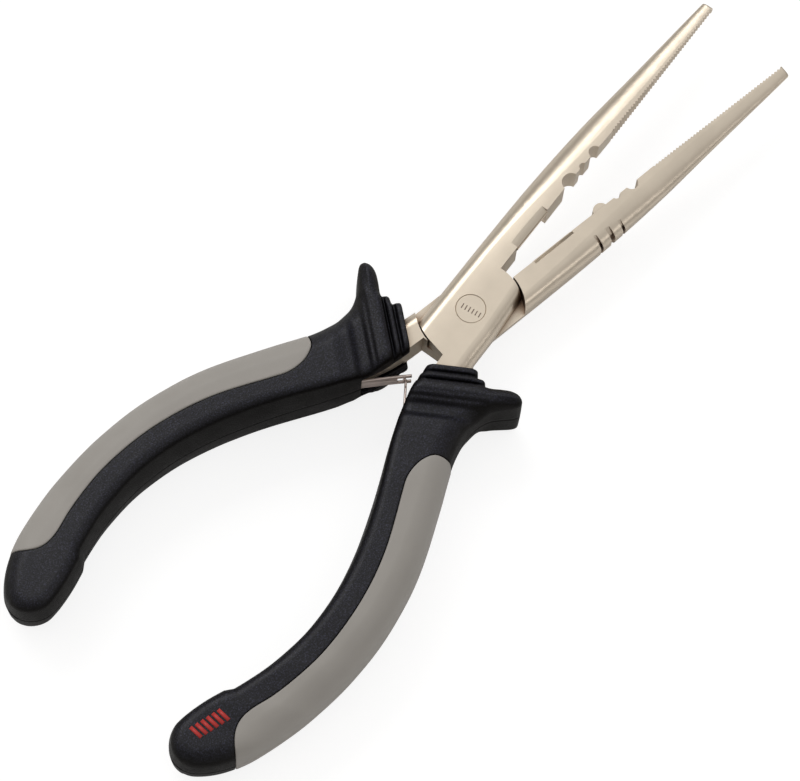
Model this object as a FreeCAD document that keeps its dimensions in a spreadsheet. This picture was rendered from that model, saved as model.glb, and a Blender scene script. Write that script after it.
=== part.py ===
import FreeCAD, Part
import math
import os
import Sketcher

# Long nose pliers, slightly open: two forged halves on a rivet, two grips with soft inlays and
# two leaf springs. X runs along the tool with the jaws towards +X and its origin at the middle
# of the length, Y runs across the jaws, Z is the pivot direction with the mid plane at z = 0.
# Halves and grips are drawn closed, with the pivot on the Z axis, the jaw on the +Y side and
# the tang on the -Y side. The closing plane is then y = 0. Each is turned into place afterwards.

V = FreeCAD.Vector
doc = FreeCAD.newDocument("long_nose_pliers")

# ---------------------------------------------------------------- driving dimensions
DIMENSIONS = [
    ("joint_thick", 8.2),        # lap joint, and the jaws at their base
    ("lap_gap", 0.03),           # each cheek stops this far from the mid plane
    ("half_angle", 6.35),        # each half is turned this far from closed
    ("pivot_x", 13.373),         # pivot axis in front of the middle of the length
    ("body_half_width", 7.87),   # joint body
    ("edge_round", 3.0),         # outer edges of the joint body
    ("cheek_radius", 12.05),     # end arcs of the cheek
    ("shoulder_radius", 12.45),  # concave shoulders
    ("jaw_tip_x", 95.6),         # from the pivot axis
    ("crimp_gap", 0.4),          # the crimping area stands back this far from the closing plane
    ("rivet_head_radius", 3.5),
    ("rivet_shank_radius", 2.75),
    ("rivet_head_thick", 1.5),
    ("rivet_play", 0.05),        # radial play of the lower half on the rivet
    ("cutter_x0", 18.5),
    ("cutter_len", 11.5),
    ("cutter_bevel", 1.2),
    ("cutter_edge_z", 3.2),
    ("notch_big_radius", 2.25),
    ("notch_small_radius", 1.0),
    ("notch_mid_radius", 1.55),
    ("hump_radius", 1.9),
    ("tooth_x0", 55.3),
    ("tooth_pitch", 0.905),
    ("tooth_depth", 0.45),
    ("groove_width", 0.74),
    ("groove_width_mid", 1.20),
    ("tang_thick", 6.0),
    ("leaf_thick", 0.5),
    ("leaf_width", 4.2),
    ("fork_gap", 2.4),
    ("tongue_width", 1.9),
    ("leaf_len", 11.5),
    ("tongue_len", 9.75),        # the tongue's curled end stays just inside the fork
    ("leaf_angle", 33.0),        # a leaf against its own half
    ("root_x", -29.7),           # root of a leaf on its closed half
    ("root_y", -3.2),
    ("grip_thick", 20.0),
    ("grip_round_in", 1.6),
    ("grip_round_out", 3.6),
    ("inlay_core_thick", 13.2),  # core height left under the soft inlay
    ("channel_height", 9.4),     # open channel on the inner side of the grip
]
sheet = doc.addObject("Spreadsheet::Sheet", "dims")
for row, (alias, value) in enumerate(DIMENSIONS, 1):
    sheet.set("A%d" % row, alias)
    sheet.set("B%d" % row, str(value))
    sheet.setAlias("B%d" % row, alias)
doc.recompute()


def dim(alias):
    return float(getattr(sheet, alias))


# ---------------------------------------------------------------- helpers
# A size is either a number or the alias of a driving dimension, which then stays bound to it.
def size_value(size):
    return dim(size) if isinstance(size, str) else size


def set_size(feature, prop, size):
    setattr(feature, prop, size_value(size))
    if isinstance(size, str):
        feature.setExpression(prop, "dims." + size)


def new_body(name):
    body = doc.addObject("PartDesign::Body", name)
    doc.recompute()
    return body


def add_feature(body, kind, part):
    return body.newObject(kind, body.Name + "_" + part)


def add_sketch(body, part, role, offset=0.0, turn=FreeCAD.Rotation()):
    """Empty sketch on an origin plane, moved along its normal and turned."""
    plane = next(item for item in body.Origin.OriginFeatures if item.Role == role)
    sketch = add_feature(body, "Sketcher::SketchObject", part)
    sketch.AttachmentSupport = [(plane, "")]
    sketch.MapMode = "FlatFace"
    sketch.AttachmentOffset = FreeCAD.Placement(V(0, 0, size_value(offset)), turn)
    if isinstance(offset, str):
        sketch.setExpression("AttachmentOffset.Base.z", "dims." + offset)
    doc.recompute()
    return sketch


def lines(sketch, *points):
    for start, end in zip(points, points[1:]):
        sketch.addGeometry(Part.LineSegment(V(*start, 0), V(*end, 0)), False)


def polygon(sketch, points):
    lines(sketch, *points, points[0])


def spline(sketch, points):
    curve = Part.BSplineCurve()
    curve.interpolate([V(x, y, 0) for x, y in points])
    sketch.addGeometry(curve, False)


def polar(radius, angle):
    return radius * math.cos(angle), radius * math.sin(angle)


def origin_arc(sketch, radius, start, end):
    """Arc about the origin between two angles; returns its end points."""
    first, middle, last = [polar(radius, a) for a in (start, 0.5 * (start + end), end)]
    sketch.addGeometry(Part.Arc(V(*first, 0), V(*middle, 0), V(*last, 0)), False)
    return first, last


def circle(sketch, x, y, radius):
    value = size_value(radius)
    ring = sketch.addGeometry(Part.Circle(V(0, 0, 0) + V(x, y, 0), V(0, 0, 1), value), False)
    constraint = sketch.addConstraint(Sketcher.Constraint("Radius", ring, value))
    if isinstance(radius, str):
        sketch.renameConstraint(constraint, "size")
        sketch.setExpression("Constraints.size", "dims." + radius)
    # A centre that lies on an axis is tied to it, as a zero distance can't be set.
    for kind, distance, axis in (("DistanceX", x, -2), ("DistanceY", y, -1)):
        if distance:
            sketch.addConstraint(Sketcher.Constraint(kind, -1, 1, ring, 3, distance))
        else:
            sketch.addConstraint(Sketcher.Constraint("PointOnObject", ring, 3, axis))


def extrude(body, kind, part, sketch, length, midplane=True, reverse=False):
    """Pad or Pocket of a sketch."""
    feature = add_feature(body, "PartDesign::" + kind, part)
    feature.Profile = sketch
    feature.Midplane = midplane
    feature.Reversed = reverse
    set_size(feature, "Length", length)
    sketch.Visibility = False
    doc.recompute()
    return feature


def turn_profile(body, kind, part, sketch):
    """Revolution or Groove, a full turn about the sketch's vertical axis."""
    feature = add_feature(body, "PartDesign::" + kind, part)
    feature.Profile = sketch
    feature.ReferenceAxis = (sketch, ["V_Axis"])
    feature.Angle = 360.0
    sketch.Visibility = False
    doc.recompute()
    return feature


def edges_where(shape, wanted):
    """Names of the edges for which wanted(edge, its middle point) holds."""
    names = []
    for i, edge in enumerate(shape.Edges, 1):
        first, last = edge.ParameterRange
        if wanted(edge, edge.valueAt(0.5 * (first + last))):
            names.append("Edge%d" % i)
    return names


def fillet(body, part, edges, radius):
    """Round edges of the tip. A fillet that can't be built is taken out again."""
    base = body.Tip
    feature = add_feature(body, "PartDesign::Fillet", part)
    feature.Base = (base, edges)
    set_size(feature, "Radius", radius)
    doc.recompute()
    failed = "Invalid" in feature.State or "Error" in feature.State
    if failed or feature.Shape.isNull() or not feature.Shape.isValid():
        body.removeObject(feature)
        doc.removeObject(feature.Name)
        body.Tip = base
        doc.recompute()
        return False
    return True


def boolean(kind, name, base, tool):
    result = doc.addObject("Part::" + kind, name)
    result.Base = base
    result.Tool = tool
    doc.recompute()
    return result


def half_placement(lower):
    """From the closed half to the open tool; the lower half is turned over about X."""
    turn = FreeCAD.Rotation(V(0, 0, 1), -dim("half_angle") if lower else dim("half_angle"))
    if lower:
        turn = turn.multiply(FreeCAD.Rotation(V(1, 0, 0), 180))
    return FreeCAD.Placement(V(dim("pivot_x"), 0, 0), turn)


# ---------------------------------------------------------------- forged halves
HALF_THICK = dim("joint_thick") / 2
BODY_EDGE_Y = dim("body_half_width")
CRIMP_Y = dim("crimp_gap")
TIP_X = dim("jaw_tip_x")
EDGE_Y = 0.03      # cutting edge and tooth crests, from the closing plane
TIP_ROUND = 0.45

# Joint body in plan
JOINT_FRONT_X = 14.0
CHEEK_REAR_END = math.radians(170.0)      # rear end of the rear cheek arc
CHEEK_FRONT_START = math.radians(-36.5)   # -Y end of the front cheek arc
CHEEK_FOOT = (-12.7, -1.55)
JOINT_OUTER = [(-9.5, -8.02), (-2.0, -7.95)]
OUTER_EDGE_Y = (-9.2, -6.6)               # range of y that finds the long edges on the -Y side

# Jaw sections from the joint to the tip: x, outer y, half thickness, then how far in and how
# far down the rounded back reaches, and the inner side as a share of the crimp gap
JAW = [
    (JOINT_FRONT_X, BODY_EDGE_Y, 4.10, 3.00, 3.00, 1.0),
    (24.0, 7.80, 4.10, 3.40, 3.05, 1.0),
    (34.0, 7.62, 3.98, 4.10, 3.10, 1.0),
    (44.0, 7.22, 3.62, 4.60, 2.95, 1.0),
    (54.0, 6.58, 3.05, 4.60, 2.55, 0.45),
    (65.0, 5.54, 2.38, 4.20, 2.05, 0.0),
    (77.0, 4.42, 1.80, 3.50, 1.58, 0.0),
    (87.0, 3.52, 1.38, 2.80, 1.22, 0.0),
    (TIP_X, 2.70, 1.05, 2.10, 0.92, 0.0),
]
BACK_STEPS = 8    # steps along each rounded quarter of the back

# Tang in plan: inner side front to rear, outer side rear to front
TANG_IN = [(-18.0, -1.75), (-24.0, -2.75), (-30.0, -4.75), (-40.0, -9.9), (-50.0, -14.4),
           (-60.0, -17.8), (-70.0, -19.8), (-80.0, -20.4)]
TANG_OUT = [(-80.0, -25.4), (-70.0, -25.2), (-60.0, -23.8), (-50.0, -21.0), (-40.0, -16.9),
            (-30.0, -12.4), (-24.0, -10.2), (-18.0, -8.75)]
# Start of the tang inside the joint body
TANG_ROOT_IN = (-17.0, -1.72)
TANG_ROOT_OUT = (-17.0, -8.6)

BORE_TOP_MARGIN = 0.5     # the bore profile runs on above the top face
BORE_BOTTOM_Z = -1.0

# Side cutter, sections as y, z
LAND_Y = 1.2
LAND_HEIGHT = 6.0
CUTTER_CLEAR_Y = -1.5     # the cut starts beyond the closing plane
CUTTER_REACH_Z = 5.0      # and runs past both faces
LONG_BEVEL_Y = 2.3        # end of the long bevel
SHORT_BEVEL = [(2.45, 4.13), (1.85, 4.04), (1.3, 3.88), (0.8, 3.65), (0.4, 3.42),
               (EDGE_Y, dim("cutter_edge_z"))]

# Round notches in the inner edge: tag, x, y, radius. The first is on the upper half only.
NOTCHES = [("a", 39.0, 0.0, "notch_big_radius"), ("b", 43.8, 0.1, "notch_small_radius"),
           ("c", 48.5, 0.15, "notch_mid_radius")]
NOTCH_MARGIN = 2.0
HUMP = (38.6, 0.9)
HUMP_HEIGHT = 7.2

TEETH_LEAD = 0.01         # the tooth cut starts this far behind the first tooth
TEETH_END_MARGIN = 0.4    # kept free behind the tip
TEETH_CLEAR = 1.0         # the cut runs this far past the closing plane and the tip
TEETH_CUT_HEIGHT = 9.0

# Narrow grooves in the outer edge: x of the middle, width; then their section as y, z
GROOVES = [(33.3, "groove_width"), (36.8, "groove_width_mid"), (40.2, "groove_width")]
GROOVE_SECTION = [(4.2, 4.3), (6.3, 2.2), (6.3, -2.2), (4.2, -4.3), (9.5, -4.3), (9.5, 4.3)]


def add_joint(body):
    """Joint body and the start of the tang, full thickness."""
    radius = dim("cheek_radius")
    plan = add_sketch(body, "plan", "XY_Plane")
    rear_start = math.pi - math.asin(BODY_EDGE_Y / radius)
    lines(plan, (JOINT_FRONT_X, BODY_EDGE_Y), polar(radius, rear_start))
    rear_end = origin_arc(plan, radius, rear_start, CHEEK_REAR_END)[1]
    front_start = polar(radius, CHEEK_FRONT_START)
    lines(plan, rear_end, CHEEK_FOOT, TANG_IN[0], TANG_OUT[-1], *JOINT_OUTER, front_start)
    front_end = origin_arc(plan, radius, CHEEK_FRONT_START, math.asin(CRIMP_Y / radius))[1]
    lines(plan, front_end, (JOINT_FRONT_X, CRIMP_Y), (JOINT_FRONT_X, BODY_EDGE_Y))
    joint = extrude(body, "Pad", "pad", plan, "joint_thick")

    def is_long_edge(edge, middle):
        on_face = abs(abs(middle.z) - HALF_THICK) < 1e-3
        low, high = OUTER_EDGE_Y
        return on_face and (abs(middle.y - BODY_EDGE_Y) < 1e-3 or low < middle.y < high)

    fillet(body, "round", edges_where(joint.Shape, is_long_edge), "edge_round")


def back_quarter(y_out, half_thick, reach_in, reach_down, side):
    """Elliptic quarter from a flat face (side +1 or -1) round to the back of the jaw."""
    points = []
    for k in range(BACK_STEPS + 1):
        angle = 0.5 * math.pi * k / BACK_STEPS
        y = y_out - reach_in + reach_in * math.sin(angle)
        z = half_thick - reach_down + reach_down * math.cos(angle)
        points.append((y, side * z))
    return points


def add_jaw(body):
    """Jaw, lofted through rounded sections."""
    sections = []
    for i, (x, y_out, half_thick, reach_in, reach_down, share) in enumerate(JAW):
        offset = "jaw_tip_x" if i == len(JAW) - 1 else x
        section = add_sketch(body, "sec%d" % i, "YZ_Plane", offset)
        y_in = CRIMP_Y * share
        below = back_quarter(y_out, half_thick, reach_in, reach_down, -1)
        above = back_quarter(y_out, half_thick, reach_in, reach_down, 1)[::-1]
        lines(section, (y_in, -half_thick), below[0])
        spline(section, below)
        lines(section, below[-1], above[0])
        spline(section, above)
        lines(section, above[-1], (y_in, half_thick), (y_in, -half_thick))
        section.Visibility = False
        doc.recompute()
        sections.append(section)
    loft = add_feature(body, "PartDesign::AdditiveLoft", "jaw")
    loft.Profile = sections[0]
    loft.Sections = sections[1:]
    loft.Ruled = False
    doc.recompute()


def add_tang(body):
    """Tang inside the grip, thinner than the joint."""
    plan = add_sketch(body, "tang_plan", "XY_Plane")
    lines(plan, TANG_ROOT_IN, TANG_IN[0])
    spline(plan, TANG_IN)
    lines(plan, TANG_IN[-1], TANG_OUT[0])
    spline(plan, TANG_OUT)
    lines(plan, TANG_OUT[-1], TANG_ROOT_OUT, TANG_ROOT_IN)
    extrude(body, "Pad", "tang", plan, "tang_thick")


def cut_lap(body):
    """Clear the layer below the mid plane inside the shoulder arcs."""
    plan = add_sketch(body, "lap_circle", "XY_Plane", "lap_gap")
    circle(plan, 0, 0, "shoulder_radius")
    extrude(body, "Pocket", "lap", plan, "joint_thick", midplane=False)


def cut_bore(body, play):
    """Bore for the rivet: head seat, cone, shank."""
    head = dim("rivet_head_radius") + play
    shank = dim("rivet_shank_radius") + play
    top = HALF_THICK + BORE_TOP_MARGIN
    seat = HALF_THICK - dim("rivet_head_thick")
    profile = add_sketch(body, "bore_profile", "XZ_Plane")
    polygon(profile, [(0, top), (head, top), (head, seat), (shank, seat - (head - shank)),
                      (shank, BORE_BOTTOM_Z), (0, BORE_BOTTOM_Z)])
    turn_profile(body, "Groove", "bore", profile)


def add_cutter(body, lower):
    """Side cutter: a land cut by two bevels that leave an edge near the tool's +Z face."""
    start = dim("cutter_x0")
    end = start + dim("cutter_len")
    edge_z = dim("cutter_edge_z")
    plan = add_sketch(body, "cutter_add", "XY_Plane")
    polygon(plan, [(start, EDGE_Y), (end, EDGE_Y), (end, LAND_Y), (start, LAND_Y)])
    extrude(body, "Pad", "cutter_land", plan, LAND_HEIGHT)

    profile = add_sketch(body, "cutter_profile", "YZ_Plane", "cutter_x0")
    clear_low = (CUTTER_CLEAR_Y, -CUTTER_REACH_Z)
    clear_high = (CUTTER_CLEAR_Y, CUTTER_REACH_Z)
    if lower:
        # The short bevel reaches its full depth at the face of the joint.
        lean = (CUTTER_REACH_Z - edge_z) / (HALF_THICK - edge_z)
        bevel_end = (EDGE_Y + dim("cutter_bevel") * lean, -CUTTER_REACH_Z)
        polygon(profile, [clear_low, bevel_end, (EDGE_Y, -edge_z),
                          (LONG_BEVEL_Y, CUTTER_REACH_Z), clear_high])
    else:
        # The short bevel runs softly into its flat.
        lines(profile, clear_high, (SHORT_BEVEL[0][0], CUTTER_REACH_Z), SHORT_BEVEL[0])
        spline(profile, SHORT_BEVEL)
        lines(profile, SHORT_BEVEL[-1], (LONG_BEVEL_Y, -CUTTER_REACH_Z), clear_low, clear_high)
    extrude(body, "Pocket", "cutter", profile, "cutter_len", midplane=False, reverse=True)


def add_crimps(body, lower):
    """Notches across the inner edge; the lower half has a hump instead of the first."""
    for tag, x, y, radius in NOTCHES[1:] if lower else NOTCHES:
        plan = add_sketch(body, "notch_%s_circle" % tag, "XY_Plane")
        circle(plan, x, y, radius)
        extrude(body, "Pocket", "notch_" + tag, plan, dim("joint_thick") + NOTCH_MARGIN)
    if lower:
        plan = add_sketch(body, "hump_circle", "XY_Plane")
        circle(plan, *HUMP, "hump_radius")
        extrude(body, "Pad", "hump", plan, HUMP_HEIGHT)


def cut_teeth(body):
    """Saw teeth from the crimping area to the tip."""
    start, pitch = dim("tooth_x0"), dim("tooth_pitch")
    points = [(start - TEETH_LEAD, -TEETH_CLEAR), (start - TEETH_LEAD, EDGE_Y)]
    for k in range(int((TIP_X - TEETH_END_MARGIN - start) / pitch)):
        points.append((start + (k + 0.5) * pitch, dim("tooth_depth")))
        points.append((start + (k + 1.0) * pitch, EDGE_Y))
    points += [(TIP_X + TEETH_CLEAR, EDGE_Y), (TIP_X + TEETH_CLEAR, -TEETH_CLEAR)]
    plan = add_sketch(body, "teeth_plan", "XY_Plane")
    polygon(plan, points)
    extrude(body, "Pocket", "teeth", plan, TEETH_CUT_HEIGHT)


def cut_grooves(body):
    for k, (x, width) in enumerate(GROOVES):
        profile = add_sketch(body, "groove%d_profile" % k, "YZ_Plane", x - dim(width) / 2)
        polygon(profile, GROOVE_SECTION)
        extrude(body, "Pocket", "groove%d" % k, profile, width, midplane=False, reverse=True)


def make_half(name, lower):
    body = new_body(name)
    add_joint(body)
    add_jaw(body)
    add_tang(body)
    cut_lap(body)
    cut_bore(body, dim("rivet_play") if lower else 0.0)
    add_cutter(body, lower)
    add_crimps(body, lower)
    cut_teeth(body)
    if lower:
        cut_grooves(body)
    # Blunt corners at the tip
    corners = edges_where(body.Shape, lambda edge, mid: mid.x > TIP_X - 0.02 and mid.y > 1.0)
    fillet(body, "tip_round", corners, TIP_ROUND)
    return body


# ---------------------------------------------------------------- rivet
RIVET_CHAMFER = 0.18


def make_rivet():
    """Rivet with a head, a cone and a chamfer at both ends, flush with the joint."""
    body = new_body("pivot_rivet")
    head, shank = dim("rivet_head_radius"), dim("rivet_shank_radius")
    seat = HALF_THICK - dim("rivet_head_thick")
    upper = [(shank, seat - (head - shank)), (head, seat), (head, HALF_THICK - RIVET_CHAMFER),
             (head - RIVET_CHAMFER, HALF_THICK), (0, HALF_THICK)]
    profile = add_sketch(body, "profile", "XZ_Plane")
    profile.Label = "rivet_profile"
    polygon(profile, [(x, -z) for x, z in reversed(upper)] + upper)
    turn_profile(body, "Revolution", "turned", profile).Label = "rivet_turned"
    body.Placement = FreeCAD.Placement(V(dim("pivot_x"), 0, 0), FreeCAD.Rotation())
    doc.recompute()
    return body


# ---------------------------------------------------------------- grips
# Grip in plan: inner side front to rear, then the tail, the outer side and the guard,
# then the steps of the collar back to the inner side
GRIP_IN = [
    (-17.9, -0.5), (-21.0, -0.5), (-25.0, -0.9), (-30.0, -1.9), (-34.0, -3.2), (-39.0, -5.2),
    (-44.0, -7.3), (-50.0, -9.7), (-57.0, -12.1), (-62.0, -13.6), (-68.0, -14.95),
    (-73.0, -15.7), (-79.0, -16.05), (-84.0, -15.9), (-89.0, -15.2), (-95.0, -13.9),
    (-99.5, -12.5), (-103.0, -11.2)]
GRIP_OUT = [
    (-104.9, -9.4), (-108.0, -8.1), (-112.0, -6.7), (-115.0, -5.95), (-117.5, -5.8),
    (-120.0, -6.5), (-122.2, -8.0), (-123.5, -10.2), (-123.8, -12.4), (-123.1, -14.7),
    (-121.4, -17.0), (-119.0, -19.3), (-116.0, -21.4), (-112.5, -23.3), (-108.5, -24.9),
    (-104.5, -26.3), (-100.0, -27.6), (-95.0, -28.65), (-90.0, -29.4), (-85.0, -29.95),
    (-80.0, -30.2), (-75.0, -30.2), (-70.0, -29.85), (-65.0, -29.2), (-60.0, -28.3),
    (-55.0, -27.0), (-50.0, -25.35), (-45.0, -23.5), (-40.0, -21.6), (-35.0, -19.6),
    (-31.5, -18.3), (-28.0, -17.5), (-25.0, -17.2), (-22.5, -17.3), (-20.4, -17.9),
    (-18.8, -18.7), (-17.2, -20.2), (-15.7, -21.9), (-14.4, -23.0), (-13.0, -23.45),
    (-11.9, -23.0), (-11.3, -21.8), (-11.2, -20.4), (-11.5, -19.0), (-12.2, -17.2)]
COLLAR_PLAN = [GRIP_OUT[-1], (-13.6, -14.4), (-11.9, -13.35), (-12.9, -11.9), (-11.55, -11.1),
               GRIP_IN[0]]

# Side profile of the grip: distance from the pivot along the collar normal (negative to the
# rear) and height; first the collar steps, then the falling top
COLLAR_TURN = 30.0        # collar normal against X
FLAT = 9.85
COLLAR_SIDE = [(-10.0, 8.1), (-17.3, 8.1), (-17.3, 8.9), (-19.0, 8.9), (-19.0, FLAT)]
TOP = [(-23.6, FLAT), (-26.0, 9.4), (-30.0, 9.2), (-38.0, 9.5), (-50.0, 9.82), (-62.0, 9.84),
       (-75.0, 9.6), (-88.0, 8.9), (-98.0, 8.1), (-106.0, 7.4), (-120.0, 6.7)]
TOP_CUT_REAR = -140.0
TOP_CUT_HEIGHT = 13.0
TOP_CUT_WIDTH = 200.0

# Long rims of the grip: tag, shortest and longest edge, radii in the order they are tried
RIMS = [("out", 120.0, 170.0, ("grip_round_out", 3.0, 2.4, 1.8)),
        ("in", 70.0, 90.0, ("grip_round_in", 1.2, 0.8))]
RIM_MIN_Z = 6.0           # a rim's middle lies farther than this from the mid plane
RIM_MAX_RISE = 5.0        # and the rim spans less than this in Z

# Channel in plan; its outer side follows the tang
CHANNEL = [(-8.0, 6.0), (-33.0, 6.0), (-33.0, -5.3), *TANG_IN[2::-1], (-8.0, -1.55)]

# Soft inlay in plan: its boundary front to rear, closed by points outside the grip
INLAY = [
    (-32.6, -18.9), (-33.2, -17.2), (-34.3, -15.3), (-36.9, -13.8), (-39.8, -13.3),
    (-42.8, -13.6), (-45.8, -14.7), (-51.9, -17.2), (-58.0, -19.5), (-64.0, -21.2),
    (-70.0, -22.3), (-76.0, -22.9), (-82.0, -23.0), (-88.0, -22.6), (-94.0, -21.5),
    (-100.0, -19.9), (-105.5, -17.8), (-108.5, -17.4), (-110.7, -17.9), (-112.8, -19.1),
    (-114.8, -20.9), (-116.2, -22.2)]
INLAY_OUTSIDE = [(-121.0, -28.0), (-100.0, -36.0), (-60.0, -36.0), (-28.0, -24.0)]
INLAY_TOOL_HEIGHT = 26.0
# Outer side of the core under the inlay, closed by points on the inner side
CORE_OUT = [
    (-34.0, -16.9), (-40.0, -19.1), (-50.0, -22.8), (-60.0, -25.8), (-70.0, -27.3),
    (-80.0, -27.7), (-90.0, -26.9), (-100.0, -25.0), (-108.0, -22.4), (-114.0, -19.6)]
CORE_INSIDE = [(-117.0, -12.0), (-80.0, -8.0), (-34.0, -6.0)]


def make_grip_outer(name):
    """Whole grip, with the tang and the inlay still filled in."""
    body = new_body(name)
    plan = add_sketch(body, "plan", "XY_Plane")
    spline(plan, GRIP_IN)
    lines(plan, GRIP_IN[-1], GRIP_OUT[0])
    spline(plan, GRIP_OUT)
    lines(plan, *COLLAR_PLAN)
    extrude(body, "Pad", "pad", plan, "grip_thick")

    # Collar steps and falling top, cut above and below along the line of the collar
    turn = FreeCAD.Rotation(V(0, 1, 0), COLLAR_TURN)
    for side, tag in ((1, "top"), (-1, "bottom")):
        profile = add_sketch(body, tag + "_profile", "XZ_Plane", 0.0, turn)
        steps = [(x, side * z) for x, z in COLLAR_SIDE]
        curve = [(x, side * z) for x, z in TOP]
        lines(profile, *steps, curve[0])
        spline(profile, curve)
        lines(profile, curve[-1], (TOP_CUT_REAR, curve[-1][1]),
              (TOP_CUT_REAR, side * TOP_CUT_HEIGHT), (steps[0][0], side * TOP_CUT_HEIGHT),
              steps[0])
        extrude(body, "Pocket", tag + "_cut", profile, TOP_CUT_WIDTH)

    # The smaller radii are there in case a larger one can't be built.
    for tag, shortest, longest, radii in RIMS:
        def is_rim(edge, middle):
            return (abs(middle.z) > RIM_MIN_Z and edge.BoundBox.ZLength < RIM_MAX_RISE
                    and shortest < edge.Length < longest)

        rims = edges_where(body.Tip.Shape, is_rim)
        for radius in radii:
            if fillet(body, "round_" + tag, rims, radius):
                break

    # Channel at the front of the inner side, shows the tang and leaves room for the leaf
    plan = add_sketch(body, "channel_plan", "XY_Plane")
    polygon(plan, CHANNEL)
    extrude(body, "Pocket", "channel", plan, "channel_height")
    return body


def make_inlay_tool(name):
    """The space of the inlay, hollowed round the core."""
    body = new_body(name)
    plan = add_sketch(body, "plan", "XY_Plane")
    spline(plan, INLAY)
    lines(plan, INLAY[-1], *INLAY_OUTSIDE, INLAY[0])
    extrude(body, "Pad", "pad", plan, INLAY_TOOL_HEIGHT)
    plan = add_sketch(body, "core_plan", "XY_Plane")
    spline(plan, CORE_OUT)
    lines(plan, CORE_OUT[-1], *CORE_INSIDE, CORE_OUT[0])
    extrude(body, "Pocket", "core", plan, "inlay_core_thick")
    return body


def make_grip(side, half, lower):
    """Grip and inlay on the tang of one half."""
    outer = make_grip_outer(side + "_grip_outer")
    tool = make_inlay_tool(side + "_inlay_tool")
    outer.Placement = half_placement(lower)
    tool.Placement = half_placement(lower)
    doc.recompute()
    inlay = boolean("Common", side + "_inlay", outer, tool)
    core = boolean("Cut", side + "_grip_core", outer, tool)
    return [boolean("Cut", side + "_grip", core, half), inlay]


# ---------------------------------------------------------------- leaf springs
# Drawn flat along X from the root, width along Z
LEAF_BACK_X = -1.5
FORK_SLOT_X = 8.3
TONGUE_SHOULDER_X = 7.2
TONGUE_NECK_X = 7.7
CURL_RADIUS = 0.5


def make_leaf(name, half_outline, lower):
    """Strip from one half of its outline (x, z) above the centre line, set on its half."""
    body = new_body(name)
    outline = add_sketch(body, "outline", "XZ_Plane", -dim("leaf_thick") / 2)
    polygon(outline, [(x, -z) for x, z in half_outline] + half_outline[::-1])
    extrude(body, "Pad", "strip", outline, "leaf_thick", midplane=False)
    root = FreeCAD.Placement(V(dim("root_x"), dim("root_y"), 0),
                             FreeCAD.Rotation(V(0, 0, 1), dim("leaf_angle")))
    body.Placement = half_placement(lower).multiply(root)
    return body


def make_fork():
    edge, gap, end = dim("leaf_width") / 2, dim("fork_gap") / 2, dim("leaf_len")
    return make_leaf("fork_leaf", [(LEAF_BACK_X, edge), (end, edge), (end, gap),
                                   (FORK_SLOT_X, gap)], True)


def make_tongue():
    edge, neck, end = dim("leaf_width") / 2, dim("tongue_width") / 2, dim("tongue_len")
    body = make_leaf("tongue_leaf", [(LEAF_BACK_X, edge), (TONGUE_SHOULDER_X, edge),
                                     (TONGUE_NECK_X, neck), (end, neck)], False)
    # Curled end that keeps the tongue in the fork
    profile = add_sketch(body, "curl_circle", "XY_Plane")
    circle(profile, end, dim("leaf_thick") / 2, CURL_RADIUS)
    extrude(body, "Pad", "curl", profile, "tongue_width")
    return body


# ---------------------------------------------------------------- build, check and write
upper_half = make_half("upper_half", False)
lower_half = make_half("lower_half", True)
upper_half.Placement = half_placement(False)
lower_half.Placement = half_placement(True)
doc.recompute()
pieces = [upper_half, lower_half, make_rivet()]
pieces += make_grip("right", upper_half, False)
pieces += make_grip("left", lower_half, True)
pieces += [make_fork(), make_tongue()]
doc.recompute()

for item in doc.Objects:
    if "Invalid" in item.State or "Error" in item.State:
        raise RuntimeError("%s is not built" % item.Name)
os.makedirs("parts", exist_ok=True)
for piece in pieces:
    if piece.Shape.isNull() or not piece.Shape.isValid():
        raise RuntimeError("bad shape " + piece.Label)
    piece.Shape.exportStep("parts/%s.step" % piece.Label)
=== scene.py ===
"""Hand tool with two steel halves on a pivot rivet, two-colour grips and two leaf springs.

It lies flat with Z up and the pivot axis upright at x = PIVOT_X, y = 0. The grips run
towards -X: the right one, on the upper half, at -Y and the left one, on the lower half, at +Y.
Pieces are drawn in mm in a half's own frame: the half closed, pivot at the origin, grip
towards -X and -Y. The lower half is the same drawing turned over about X.
"""
import bpy, bmesh
import math
import numpy as np
from mathutils import Matrix, Vector


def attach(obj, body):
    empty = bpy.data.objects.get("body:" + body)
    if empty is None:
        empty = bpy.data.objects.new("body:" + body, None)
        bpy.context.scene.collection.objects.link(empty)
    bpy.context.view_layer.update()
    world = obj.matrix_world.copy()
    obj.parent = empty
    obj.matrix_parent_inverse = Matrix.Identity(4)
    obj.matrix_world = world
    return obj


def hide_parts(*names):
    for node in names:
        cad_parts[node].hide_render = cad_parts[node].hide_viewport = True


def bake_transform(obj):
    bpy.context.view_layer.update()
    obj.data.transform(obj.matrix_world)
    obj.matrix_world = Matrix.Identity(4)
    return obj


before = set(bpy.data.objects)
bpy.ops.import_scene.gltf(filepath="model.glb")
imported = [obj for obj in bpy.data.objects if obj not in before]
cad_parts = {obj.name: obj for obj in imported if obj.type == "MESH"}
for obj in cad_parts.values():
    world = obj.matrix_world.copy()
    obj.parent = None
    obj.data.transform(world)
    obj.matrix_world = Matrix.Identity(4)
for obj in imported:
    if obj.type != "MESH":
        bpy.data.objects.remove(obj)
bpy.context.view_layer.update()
scene = bpy.context.scene
scene.view_settings.view_transform = "Standard"
scene.view_settings.look = "None"

MM = 0.001                          # metres in a millimetre
OPENING = math.radians(6.35)        # turn of each half from closed to the rest pose
PIVOT_X = 13.373                    # mm
PIVOT = Vector((PIVOT_X * MM, 0, 0))
RIVET_TOP = 4.1                     # mm


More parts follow.
